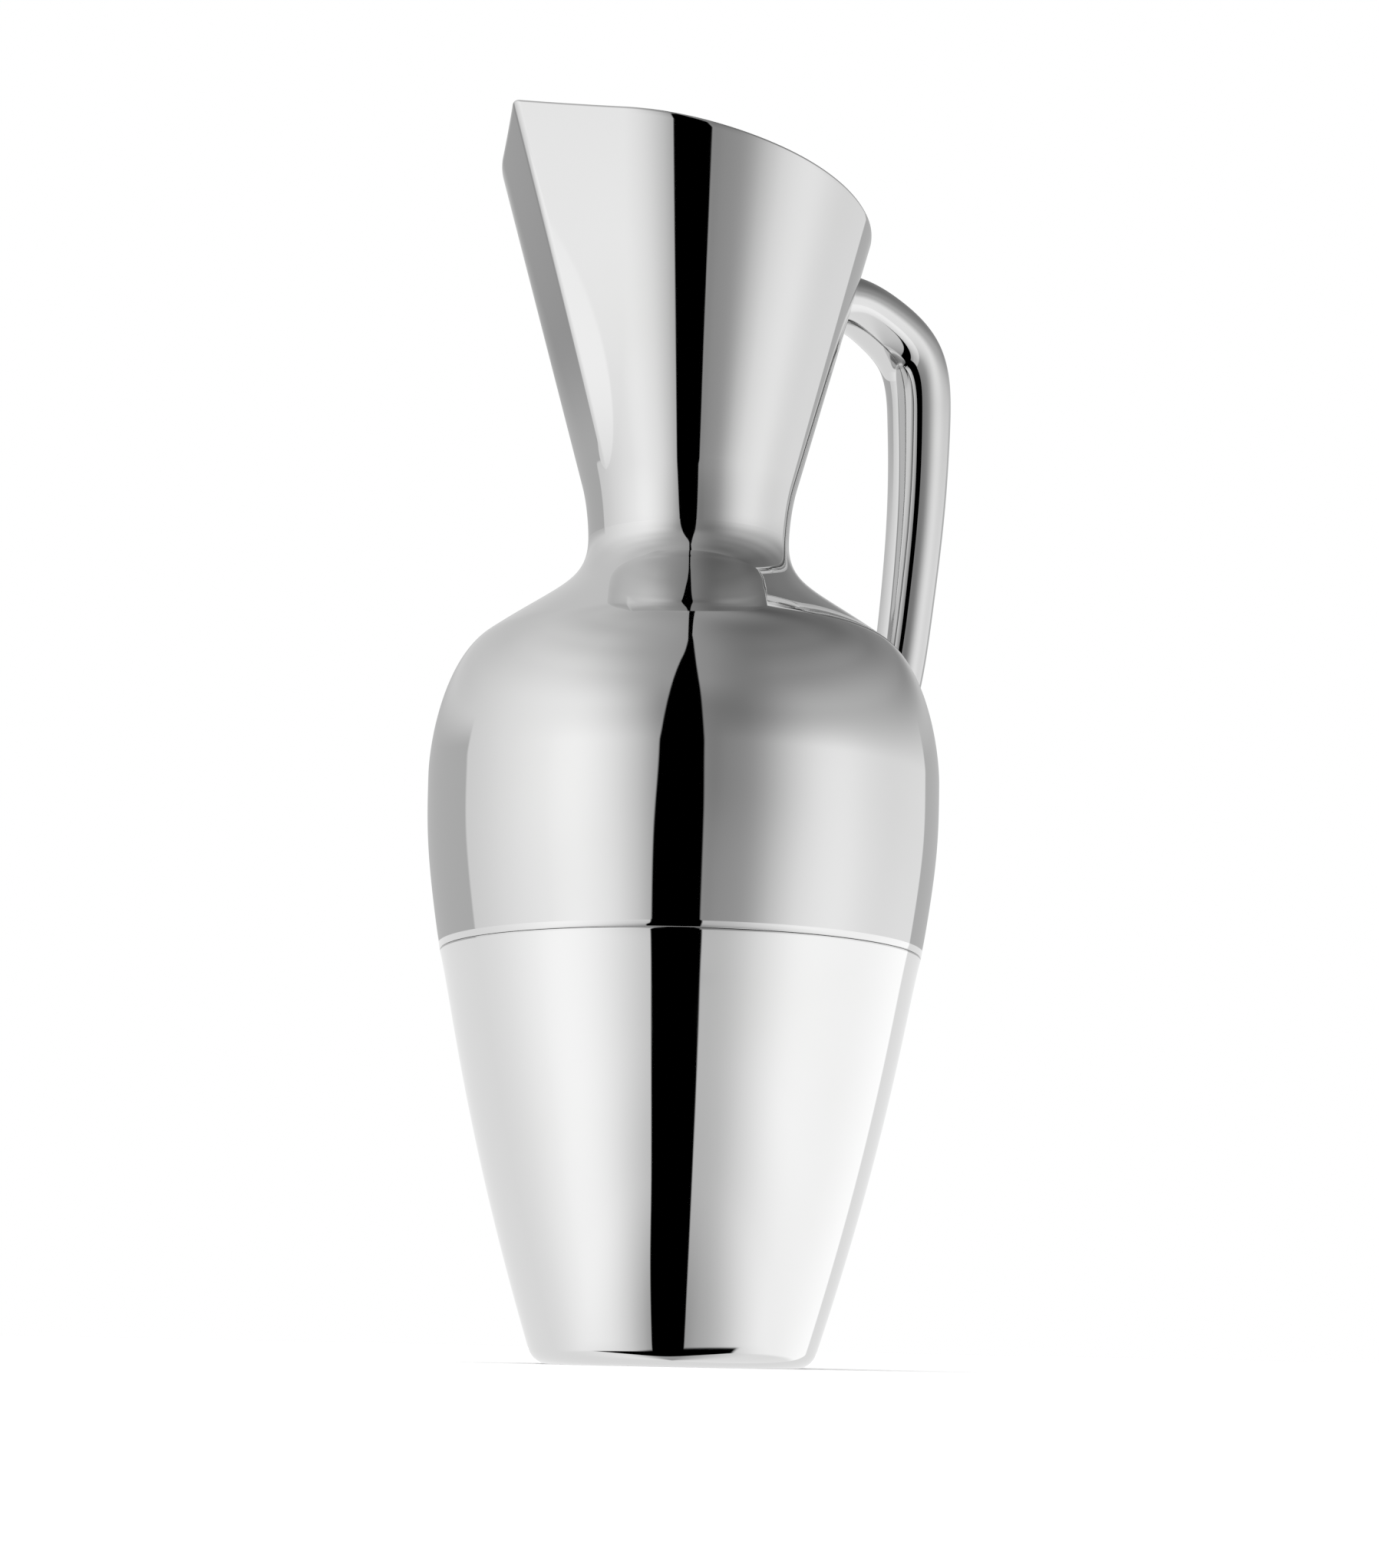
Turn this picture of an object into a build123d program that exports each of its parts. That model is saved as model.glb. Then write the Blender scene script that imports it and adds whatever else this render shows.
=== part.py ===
from build123d import *
import os
from math import acos, atan, atan2, cos, pi, sin, sqrt

# Water pitcher: spun body in two pieces, funnel mouth with a V-shaped lip, hollow tube handle.
# Z is up, the foot stands on Z = 0, the lip points to -X and the handle to +X.

# sheet thicknesses
wall = 1.2
collar_wall = 0.8
solder_gap = 0.02
plate_wall = 1.5
seam_groove_depth = 0.25

# heights of the body
foot_z = 3.6
seam_z = 106.0
belly_z = 151.8
shoulder_z = 189.1
neck_z = 217.0
cone_z = 232.0
cone_top_z = 336.0

# outside radii of the body at those heights
foot_flat_r = 32.02
foot_r = 36.97
seam_r = 62.9
belly_r = 67.3
shoulder_r = 54.0
neck_r = 26.8
cone_r = 28.75

# how fast the outside radius changes with height where two lines meet
foot_slope = 0.3237
foot_tilt = atan(foot_slope)
below_seam_slope = 0.27
above_seam_slope = 0.17
shoulder_slope = -1.38

# inside edge of the turned-in foot, and the stepped base plate that is let into it
foot_lip_r = 29.0
base_plate_r = 31.9

# reach of the curve controls that round the foot edge
foot_round = 2.25

# mouth: the cone radius and the lip ridge grow this much per millimetre of height
cone_slope = 0.2755
lip_slope = 0.3643
lip_nose_r = 3.3
lip_half_angle = 38.0

# rim: slanting line seen from the side, lifted towards the lip and eased to level towards the handle
rim_mid_z = 309.6
rim_lift_x = -12.0
rim_lift_reach = 68.0
rim_lift = 0.00096
rim_slope = 0.2125
rim_ease_x = 36.0
rim_level_x = 49.0
rim_level_drop = 1.2

# lap rings, half heights
seam_lap = 8.0
neck_lap = 6.0

# handle centre line (X, Z) from inside the funnel wall to inside the shoulder
handle_points = [
    (42.0, 293.2),
    (57.0, 295.3),
    (69.5, 292.0),
    (80.7, 284.4),
    (84.5, 266.0),
    (83.6, 240.0),
    (80.2, 211.0),
    (76.4, 190.0),
    (70.0, 173.5),
    (58.0, 161.5),
]
handle_start_dir = (1.0, 0.2)
handle_end_dir = (-1.0, -0.6)

# grip radius at even steps along the centre line
handle_radii = [7.4, 7.9, 8.7, 9.3, 9.05, 8.6, 8.2, 7.85, 7.55, 7.35, 7.2, 7.1, 7.1]

# outside lines of the body as (radius, height) control points, from the foot upwards
foot_side = [
    (foot_flat_r, 0),
    (foot_flat_r + foot_round, 0),
    (foot_r - foot_round * sin(foot_tilt), foot_z - foot_round * cos(foot_tilt)),
    (foot_r, foot_z),
]
lower_side = [
    (foot_r, foot_z),
    (foot_r + 56.7 * foot_slope, foot_z + 56.7),
    (seam_r - 13 * below_seam_slope, seam_z - 13),
    (seam_r, seam_z),
]
belly_side = [
    (seam_r, seam_z),
    (seam_r + 24.5 * above_seam_slope, seam_z + 24.5),
    (belly_r, belly_z - 14.5),
    (belly_r, belly_z),
]
shoulder_side = [
    (belly_r, belly_z),
    (belly_r, belly_z + 10.5),
    (shoulder_r - 6.9 * shoulder_slope, shoulder_z - 6.9),
    (shoulder_r, shoulder_z),
]
hollow_side = [
    (shoulder_r, shoulder_z),
    (shoulder_r + 13.1 * shoulder_slope, shoulder_z + 13.1),
    (neck_r, neck_z - 12.4),
    (neck_r, neck_z),
]
neck_side = [
    (neck_r, neck_z),
    (neck_r, neck_z + 3.5),
    (cone_r - 5 * cone_slope, cone_z - 5),
    (cone_r, cone_z),
]


def side_point(side, t, inset):
    """Radius and height of a point on an outside line, moved inwards by inset along the normal."""
    b = [(1 - t) ** 3, 3 * (1 - t) ** 2 * t, 3 * (1 - t) * t**2, t**3]
    d = [(1 - t) ** 2, 2 * (1 - t) * t, t**2]
    radius = sum(w * q[0] for w, q in zip(b, side))
    height = sum(w * q[1] for w, q in zip(b, side))
    dr = sum(w * (side[i + 1][0] - side[i][0]) for i, w in enumerate(d))
    dz = sum(w * (side[i + 1][1] - side[i][1]) for i, w in enumerate(d))
    size = sqrt(dr**2 + dz**2)
    return radius - inset * dz / size, height + inset * dr / size


def draw_side(side, inset, start=0.0, end=1.0):
    """One outside line, or a smooth line through points at a constant distance inside it."""
    if inset == 0:
        Bezier(*side)
    else:
        steps = 10
        shares = [start + (end - start) * k / steps for k in range(steps + 1)]
        Spline(*[side_point(side, share, inset) for share in shares])


def draw_band(sides, outer_inset, inner_inset):
    """Closed outline of a sheet that follows the given outside lines."""
    for side in sides:
        draw_side(side, outer_inset)
        draw_side(side, inner_inset)
    for side, t in ((sides[0], 0), (sides[-1], 1)):
        Line(side_point(side, t, outer_inset), side_point(side, t, inner_inset))


def draw_filled(sides, inset):
    """Closed outline from the axis out to the given outside lines."""
    for side in sides:
        draw_side(side, inset)
    low = side_point(sides[0], 0, inset)
    high = side_point(sides[-1], 1, inset)
    Polyline(high, (0, high[1]), (0, low[1]), low)


def straight_side(start, end):
    """Control points of a straight line."""
    width = end[0] - start[0]
    rise = end[1] - start[1]
    return [(start[0] + width * k / 3, start[1] + rise * k / 3) for k in range(4)]


def mouth_radius(angle, round_r, ridge_r, nose_r):
    """Radius of a mouth section at an angle from the lip: circle, two flats and a rounded nose."""
    a = abs(angle)
    half = acos(round_r / ridge_r)
    centre = ridge_r - nose_r * ridge_r / round_r
    nose_end = atan2(nose_r * sin(half), centre + nose_r * cos(half))
    if a < nose_end:
        return centre * cos(a) + sqrt(nose_r**2 - (centre * sin(a)) ** 2)
    if a < half:
        return round_r / cos(half - a)
    return round_r


def mouth_sections(inset):
    """Height, round radius and ridge radius of the lofted mouth sections, bottom to top."""
    slant = sqrt(1 + cone_slope**2)
    sections = []
    for height in (cone_z, cone_z + 30, cone_top_z):
        round_r = cone_r + cone_slope * (height - cone_z)
        ridge_r = cone_r + lip_slope * (height - cone_z)
        inner_r = round_r - inset / slant
        sections.append((height + inset * cone_slope / slant, inner_r, ridge_r * inner_r / round_r))
    return sections


def draw_mouth(round_r, ridge_r, nose_r):
    """One closed mouth section: an arc round the back and a pulled-out front."""
    CenterArc((0, 0), round_r, -180 + lip_half_angle, 360 - 2 * lip_half_angle)
    if ridge_r - round_r < 0.01:
        CenterArc((0, 0), round_r, 180 - lip_half_angle, 2 * lip_half_angle)
    else:
        steps = 16
        reach = lip_half_angle * pi / 180
        side = [reach * (k / steps) ** 1.5 for k in range(steps + 1)]
        points = []
        for a in [-a for a in reversed(side)] + side[1:]:
            r = mouth_radius(a, round_r, ridge_r, nose_r)
            points.append((-r * cos(a), -r * sin(a)))
        Spline(*points, tangents=((-sin(reach), -cos(reach)), (sin(reach), -cos(reach))))


def handle_sections(path, inset):
    """Plane and radius of each circle square to the centre line, one per listed grip radius."""
    last = len(handle_radii) - 1
    sections = []
    for i, radius in enumerate(handle_radii):
        square = Plane(origin=path @ (i / last), x_dir=(0, 1, 0), z_dir=path % (i / last))
        sections.append((square, radius - inset))
    return sections


# fine V groove where the lower body and the shoulder are joined
seam_groove = [
    (seam_r - seam_groove_depth, seam_z),
    (seam_r + seam_groove_depth, seam_z - 2 * seam_groove_depth),
    (seam_r + seam_groove_depth, seam_z + 2 * seam_groove_depth),
]

# lower body: side wall with the foot edge turned in
lower_run_out = straight_side((seam_r, seam_z), (seam_r + 3 * below_seam_slope, seam_z + 3))
with BuildPart() as lower_body:
    with BuildSketch(Plane.XZ):
        with BuildLine():
            foot_flat = straight_side((foot_lip_r, 0), (foot_flat_r, 0))
            draw_band([foot_flat, foot_side, lower_side, lower_run_out], 0, wall)
        make_face()
    revolve(axis=Axis.Z)
    split(bisect_by=Plane.XY.offset(seam_z), keep=Keep.BOTTOM)
    with BuildSketch(Plane.XZ):
        with BuildLine():
            Polyline(*seam_groove, close=True)
        make_face()
    revolve(axis=Axis.Z, mode=Mode.SUBTRACT)

# base plate: stepped disc, flush underneath with the turned-in foot edge and lying on it inside
base_plug_r = foot_lip_r - solder_gap
base_outline = [
    (0, 0),
    (base_plug_r, 0),
    (base_plug_r, wall),
    (base_plate_r, wall),
    (base_plate_r, wall + plate_wall),
    (0, wall + plate_wall),
]
with BuildPart() as base_plate:
    with BuildSketch(Plane.XZ):
        with BuildLine():
            Polyline(*base_outline, close=True)
        make_face()
    revolve(axis=Axis.Z)

# lap ring behind the seam; the two sides meet at a slight angle, so their insides stop just short
seam_cut = 0.99
with BuildPart() as seam_collar:
    with BuildSketch(Plane.XZ):
        with BuildLine():
            collar_outside = wall + solder_gap
            collar_inside = collar_outside + collar_wall
            for inset in (collar_outside, collar_inside):
                draw_side(lower_side, inset, 0.5, seam_cut)
                draw_side(belly_side, inset, 1 - seam_cut, 0.5)
                Line(side_point(lower_side, seam_cut, inset), side_point(belly_side, 1 - seam_cut, inset))
            for side in (lower_side, belly_side):
                Line(side_point(side, 0.5, collar_outside), side_point(side, 0.5, collar_inside))
        make_face()
    revolve(axis=Axis.Z)
    split(bisect_by=Plane.XY.offset(seam_z - seam_lap), keep=Keep.TOP)
    split(bisect_by=Plane.XY.offset(seam_z + seam_lap), keep=Keep.BOTTOM)

# shoulder: from the seam to the neck
shoulder_run_out = straight_side((seam_r - 3 * above_seam_slope, seam_z - 3), (seam_r, seam_z))
with BuildPart() as shoulder:
    with BuildSketch(Plane.XZ):
        with BuildLine():
            draw_band([shoulder_run_out, belly_side, shoulder_side, hollow_side], 0, wall)
        make_face()
    revolve(axis=Axis.Z)
    split(bisect_by=Plane.XY.offset(seam_z), keep=Keep.TOP)
    with BuildSketch(Plane.XZ):
        with BuildLine():
            Polyline(*seam_groove, close=True)
        make_face()
    revolve(axis=Axis.Z, mode=Mode.SUBTRACT)

# lap ring inside the neck
with BuildPart() as neck_collar:
    with BuildSketch(Plane.XZ):
        with BuildLine():
            draw_band([hollow_side, neck_side], wall + solder_gap, wall + solder_gap + collar_wall)
        make_face()
    revolve(axis=Axis.Z)
    split(bisect_by=Plane.XY.offset(neck_z - neck_lap), keep=Keep.TOP)
    split(bisect_by=Plane.XY.offset(neck_z + neck_lap), keep=Keep.BOTTOM)

# mouth funnel: turned root, lofted cone with the lip, both hollowed, cut off along the rim
with BuildPart() as mouth_funnel:
    with BuildSketch(Plane.XZ):
        with BuildLine():
            draw_filled([neck_side], 0)
        make_face()
    revolve(axis=Axis.Z)
    for height, round_r, ridge_r in mouth_sections(0):
        with BuildSketch(Plane.XY.offset(height)):
            with BuildLine():
                draw_mouth(round_r, ridge_r, lip_nose_r)
            make_face()
    loft(ruled=True)
    with BuildSketch(Plane.XZ):
        with BuildLine():
            draw_filled([neck_side], wall)
        make_face()
    revolve(axis=Axis.Z, mode=Mode.SUBTRACT)
    for height, round_r, ridge_r in mouth_sections(wall):
        with BuildSketch(Plane.XY.offset(height)):
            with BuildLine():
                draw_mouth(round_r, ridge_r, lip_nose_r - wall)
            make_face()
    loft(ruled=True, mode=Mode.SUBTRACT)
    with BuildSketch(Plane.XZ):
        with BuildLine():
            reach = 90.0
            ease_z = rim_mid_z - rim_slope * rim_ease_x
            level_z = ease_z - rim_level_drop
            Bezier(
                (rim_ease_x, ease_z),
                (rim_ease_x + 4, ease_z - 4 * rim_slope),
                (rim_level_x - 5, level_z),
                (rim_level_x, level_z),
            )
            lift_z = rim_mid_z - rim_slope * rim_lift_x
            tip_x = rim_lift_x - rim_lift_reach
            tip_z = rim_mid_z - rim_slope * tip_x + rim_lift * rim_lift_reach**2
            Line((rim_ease_x, ease_z), (rim_lift_x, lift_z))
            Bezier(
                (rim_lift_x, lift_z),
                (rim_lift_x - rim_lift_reach / 2, lift_z + rim_slope * rim_lift_reach / 2),
                (tip_x, tip_z),
            )
            Polyline(
                (tip_x, tip_z),
                (tip_x, cone_top_z + reach),
                (reach, cone_top_z + reach),
                (reach, level_z),
                (rim_level_x, level_z),
            )
        make_face()
    extrude(amount=reach, both=True, mode=Mode.SUBTRACT)

# outside shape of the shoulder and cone, filled, used only for cutting
cone_side = straight_side((cone_r, cone_z), (cone_r + cone_slope * 80, cone_z + 80))
with BuildPart() as vessel_blank:
    with BuildSketch(Plane.XZ):
        with BuildLine():
            draw_filled([belly_side, shoulder_side, hollow_side, neck_side, cone_side], 0)
        make_face()
    revolve(axis=Axis.Z)

# the same shape swollen by the end plate thickness
with BuildPart() as grown_blank:
    with BuildSketch(Plane.XZ):
        with BuildLine():
            draw_filled([belly_side, shoulder_side, hollow_side, neck_side, cone_side], -plate_wall)
        make_face()
    revolve(axis=Axis.Z)

with BuildLine(Plane.XZ) as handle_line:
    Spline(*handle_points, tangents=(handle_start_dir, handle_end_dir))
handle_path = handle_line.edge()

# handle half shells, parted on the middle plane
with BuildPart() as handle_left_half:
    for square, radius in handle_sections(handle_path, 0):
        with BuildSketch(square):
            Circle(radius)
    loft()
    for square, radius in handle_sections(handle_path, wall):
        with BuildSketch(square):
            Circle(radius)
    loft(mode=Mode.SUBTRACT)
    add(vessel_blank.part, mode=Mode.SUBTRACT)
    split(bisect_by=Plane.XZ, keep=Keep.TOP)

with BuildPart() as handle_right_half:
    add(handle_left_half.part)
    mirror(about=Plane.XZ, mode=Mode.REPLACE)

# end plates: slices of the hollow of the grip that follow the wall they stand on
with BuildPart() as handle_ends:
    for square, radius in handle_sections(handle_path, wall):
        with BuildSketch(square):
            Circle(radius)
    loft()
    add(grown_blank.part, mode=Mode.INTERSECT)
    add(vessel_blank.part, mode=Mode.SUBTRACT)
end_solids = handle_ends.solids().sort_by(Axis.Z)

with BuildPart() as handle_lower_end_plate:
    add(end_solids[0])

with BuildPart() as handle_upper_end_plate:
    add(end_solids[-1])

pieces = {
    "lower_body": lower_body,
    "base_plate": base_plate,
    "seam_collar": seam_collar,
    "shoulder": shoulder,
    "neck_collar": neck_collar,
    "mouth_funnel": mouth_funnel,
    "handle_left_half": handle_left_half,
    "handle_right_half": handle_right_half,
    "handle_upper_end_plate": handle_upper_end_plate,
    "handle_lower_end_plate": handle_lower_end_plate,
}
os.makedirs("parts", exist_ok=True)
for name, piece in pieces.items():
    piece.part.label = name
    export_step(piece.part, "parts/" + name + ".step")
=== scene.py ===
from math import acos, atan2, cos, hypot, pi, radians, sin, sqrt

import bpy
from mathutils import Matrix, Vector


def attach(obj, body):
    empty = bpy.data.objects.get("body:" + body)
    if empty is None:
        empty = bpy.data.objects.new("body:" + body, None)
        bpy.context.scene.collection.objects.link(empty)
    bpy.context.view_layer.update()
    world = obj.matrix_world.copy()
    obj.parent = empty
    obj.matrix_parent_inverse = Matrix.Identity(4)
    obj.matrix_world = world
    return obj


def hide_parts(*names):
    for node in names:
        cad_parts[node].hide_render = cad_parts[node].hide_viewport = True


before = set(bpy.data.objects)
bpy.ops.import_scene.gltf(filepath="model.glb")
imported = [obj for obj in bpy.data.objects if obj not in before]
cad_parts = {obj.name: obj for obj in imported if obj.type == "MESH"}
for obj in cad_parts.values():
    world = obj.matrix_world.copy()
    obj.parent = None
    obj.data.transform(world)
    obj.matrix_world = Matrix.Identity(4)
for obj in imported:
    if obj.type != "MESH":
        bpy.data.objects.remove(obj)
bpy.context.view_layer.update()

mm = 0.001
weldWithin = 0.000002

# water pitcher in polished silver, foot on z = 0, lip to -x, handle to +x
body = {
    "wall": 1.2, "turns": 288,
    "footZ": 3.6, "seamZ": 106.0, "bellyZ": 151.8, "shoulderZ": 189.1, "neckZ": 217.0, "coneZ": 232.0,
    "footFlatR": 32.02, "footR": 36.97, "seamR": 62.9, "bellyR": 67.3, "shoulderR": 54.0, "neckR": 26.8,
    "coneR": 28.75, "footLipR": 29.0, "footRound": 2.25,
    "footSlope": 0.3237, "belowSeam": 0.27, "aboveSeam": 0.17, "shoulderSlope": -1.38, "coneSlope": 0.2755,
    # how far the side line keeps to each slope before it bends away
    "footPull": 56.7, "belowSeamPull": 13, "aboveSeamPull": 24.5, "belowBellyPull": 14.5,
    "aboveBellyPull": 10.5, "belowShoulderPull": 6.9, "aboveShoulderPull": 13.1,
    "belowNeckPull": 12.4, "aboveNeckPull": 3.5, "conePull": 5,
}


def freshMesh(name, points, edges=(), faces=()):
    data = bpy.data.meshes.new(name)
    data.from_pydata([tuple(v * mm for v in p) for p in points], edges, faces)
    piece = bpy.data.objects.new(name, data)
    bpy.context.scene.collection.objects.link(piece)
    return piece


def editAll(piece):
    bpy.ops.object.select_all(action="DESELECT")
    bpy.context.view_layer.objects.active = piece
    piece.select_set(True)
    bpy.ops.object.mode_set(mode="EDIT")
    bpy.ops.mesh.select_all(action="SELECT")


def closeUp(piece, angle=35):
    # merged, normals out, soft where the surface is smooth
    editAll(piece)
    bpy.ops.mesh.remove_doubles(threshold=weldWithin)
    bpy.ops.mesh.normals_make_consistent(inside=False)
    bpy.ops.object.mode_set(mode="OBJECT")
    bpy.ops.object.shade_smooth_by_angle(angle=radians(angle))
    return piece


def turn(name, outline, steps, closed=True):
    # outline in (radius, height), turned once round the z axis
    points = [(r, 0, z) for r, z in outline]
    edges = [(i, i + 1) for i in range(len(points) - 1)]
    if closed:
        edges.append((len(points) - 1, 0))
    piece = freshMesh(name, points, edges)
    editAll(piece)
    bpy.ops.mesh.spin(steps=steps, angle=2 * pi, center=(0, 0, 0), axis=(0, 0, 1))
    bpy.ops.object.mode_set(mode="OBJECT")
    return closeUp(piece)


def bezierPoint(side, t, inset=0.0):
    # place on a side line, moved inwards by the inset
    weights = [(1 - t) ** 3, 3 * (1 - t) ** 2 * t, 3 * (1 - t) * t**2, t**3]
    stepWeights = [(1 - t) ** 2, 2 * (1 - t) * t, t**2]
    r = sum(w * q[0] for w, q in zip(weights, side))
    z = sum(w * q[1] for w, q in zip(weights, side))
    dr = sum(w * (side[i + 1][0] - side[i][0]) for i, w in enumerate(stepWeights))
    dz = sum(w * (side[i + 1][1] - side[i][1]) for i, w in enumerate(stepWeights))
    size = hypot(dr, dz)
    return r - inset * dz / size, z + inset * dr / size


def trace(sides, inset, counts):
    # points along joined lines, bottom to top
    points = []
    for side, count in zip(sides, counts):
        first = 1 if points else 0
        points += [bezierPoint(side, k / count, inset) for k in range(first, count + 1)]
    return points


def sideLine(start, startSlope, startPull, end, endSlope, endPull):
    # from start to end in (radius, height); slopes are radius by height, pulls are heights
    return [
        start, (start[0] + startPull * startSlope, start[1] + startPull),
        (end[0] - endPull * endSlope, end[1] - endPull), end,
    ]


footTilt = atan2(body["footSlope"], 1)
foot = (body["footR"], body["footZ"])
seamLine = (body["seamR"], body["seamZ"])
belly = (body["bellyR"], body["bellyZ"])
shoulderBend = (body["shoulderR"], body["shoulderZ"])
neck = (body["neckR"], body["neckZ"])
coneFoot = (body["coneR"], body["coneZ"])
footSide = [
    (body["footFlatR"], 0), (body["footFlatR"] + body["footRound"], 0),
    (foot[0] - body["footRound"] * sin(footTilt), foot[1] - body["footRound"] * cos(footTilt)), foot,
]
lowerSide = sideLine(foot, body["footSlope"], body["footPull"],
                     seamLine, body["belowSeam"], body["belowSeamPull"])
bellySide = sideLine(seamLine, body["aboveSeam"], body["aboveSeamPull"],
                     belly, 0, body["belowBellyPull"])
shoulderSide = sideLine(belly, 0, body["aboveBellyPull"],
                        shoulderBend, body["shoulderSlope"], body["belowShoulderPull"])
hollowSide = sideLine(shoulderBend, body["shoulderSlope"], body["aboveShoulderPull"],
                      neck, 0, body["belowNeckPull"])
neckSide = sideLine(neck, 0, body["aboveNeckPull"],
                    coneFoot, body["coneSlope"], body["conePull"])
wall = body["wall"]


seam = {"edge": 0.22, "gap": 0.03}
lowerSteps = [20, 72]


def eased(outline, corner, size):
    # short bevel at one point of an outline
    i = min(range(len(outline)), key=lambda k: hypot(outline[k][0] - corner[0], outline[k][1] - corner[1]))
    before, after = outline[i - 1], outline[(i + 1) % len(outline)]
    new = []
    for other in (before, after):
        span = hypot(other[0] - corner[0], other[1] - corner[1])
        new.append(tuple(c + (o - c) * size / span for c, o in zip(corner, other)))
    middle = ((new[0][0] + new[1][0] + corner[0]) / 3, (new[0][1] + new[1][1] + corner[1]) / 3)
    return outline[:i] + [new[0], middle, new[1]] + outline[i + 1:]


outside = [(body["footLipR"], 0)] + trace([footSide, lowerSide], 0, lowerSteps)
outside[-1] = (body["seamR"], body["seamZ"] - seam["gap"])
inside = trace([footSide, lowerSide], wall, lowerSteps)
inside[-1] = (inside[-1][0], body["seamZ"] - seam["gap"])
outline = outside + inside[::-1] + [(body["footLipR"], wall)]
outline = eased(outline, (body["seamR"], body["seamZ"] - seam["gap"]), seam["edge"])
lowerBody = turn("LowerBody", outline, body["turns"])

plate = {"r": 31.9, "plugR": 28.97, "wall": 1.5, "bevel": 0.2, "turns": 96}
outline = [
    (0, 0), (plate["plugR"] - plate["bevel"], 0), (plate["plugR"], plate["bevel"]), (plate["plugR"], wall),
    (plate["r"], wall), (plate["r"], wall + plate["wall"] - plate["bevel"]),
    (plate["r"] - plate["bevel"], wall + plate["wall"]), (0, wall + plate["wall"]),
]
basePlate = turn("BasePlate", outline, plate["turns"])
print("lower body turned")


upperSides = [bellySide, shoulderSide, hollowSide]
upperSteps = [36, 40, 44]
outside = trace(upperSides, 0, upperSteps)
outside[0] = (body["seamR"], body["seamZ"] + seam["gap"])
inside = trace(upperSides, wall, upperSteps)
inside[0] = (inside[0][0], body["seamZ"] + seam["gap"])
outline = outside + inside[::-1]
outline = eased(outline, (body["seamR"], body["seamZ"] + seam["gap"]), seam["edge"])
shoulder = turn("Shoulder", outline, body["turns"])
print("shoulder turned")


mouth = {
    "lipSlope": 0.3643, "nose": 3.3,
    "rimMid": 309.6, "rimSlope": 0.2125, "liftX": -12.0, "lift": 0.00096,
    "easeX": 36.0, "easePull": 4, "levelX": 49.0, "levelPull": 5, "levelDrop": 1.2,
    "startUp": 1.0, "columns": 360, "rows": 90, "edgeSteps": 6, "neckSteps": [14],
    # share of the columns spread evenly; the rest crowd together at the lip
    "even": 0.12, "crowd": 2.2,
    # the rim is kept a hair under the CAD rim
    "under": 0.25,
}


def mouthRadius(angle, z):
    # cone behind, two flats and a rounded nose at the lip
    roundR = body["coneR"] + body["coneSlope"] * (z - body["coneZ"])
    if z <= body["coneZ"]:
        return roundR
    ridgeR = body["coneR"] + mouth["lipSlope"] * (z - body["coneZ"])
    half = acos(roundR / ridgeR)
    centre = ridgeR - mouth["nose"] * ridgeR / roundR
    noseEnd = atan2(mouth["nose"] * sin(half), centre + mouth["nose"] * cos(half))
    a = abs(angle)
    if a < noseEnd:
        return centre * cos(a) + sqrt(mouth["nose"] ** 2 - (centre * sin(a)) ** 2)
    if a < half:
        return roundR / cos(half - a)
    return roundR


def mouthPoint(angle, z):
    r = mouthRadius(angle, z)
    return Vector((-r * cos(angle), -r * sin(angle), z))


def rimHeight(x):
    straight = mouth["rimMid"] - mouth["rimSlope"] * x
    if x <= mouth["easeX"]:
        return straight + mouth["lift"] * min(x - mouth["liftX"], 0) ** 2
    easeZ = mouth["rimMid"] - mouth["rimSlope"] * mouth["easeX"]
    level = easeZ - mouth["levelDrop"]
    if x >= mouth["levelX"]:
        return level
    # eased piece, found by its x
    low, high = 0.0, 1.0
    pull = mouth["easePull"]
    ease = [(mouth["easeX"], easeZ), (mouth["easeX"] + pull, easeZ - pull * mouth["rimSlope"]),
            (mouth["levelX"] - mouth["levelPull"], level), (mouth["levelX"], level)]
    for _ in range(24):
        t = (low + high) / 2
        if bezierPoint(ease, t)[0] < x:
            low = t
        else:
            high = t
    return bezierPoint(ease, t)[1]


def rimOf(angle):
    z = mouth["rimMid"]
    for _ in range(40):
        z = rimHeight(mouthPoint(angle, z).x)
    return z


def mouthNormal(angle, z):
    step, lift = 0.001, 0.05
    up = mouthPoint(angle, z + lift) - mouthPoint(angle, z - lift)
    along = mouthPoint(angle + step, z) - mouthPoint(angle - step, z)
    return along.cross(up).normalized()


def mouthAngles():
    # closer together at the lip, where the section turns fast
    half = mouth["columns"] // 2
    even, crowd = mouth["even"], mouth["crowd"]
    side = [pi * (even * s + (1 - even) * s**crowd) for s in (k / half for k in range(half + 1))]
    return [-a for a in side[:0:-1]] + side[:-1]


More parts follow.
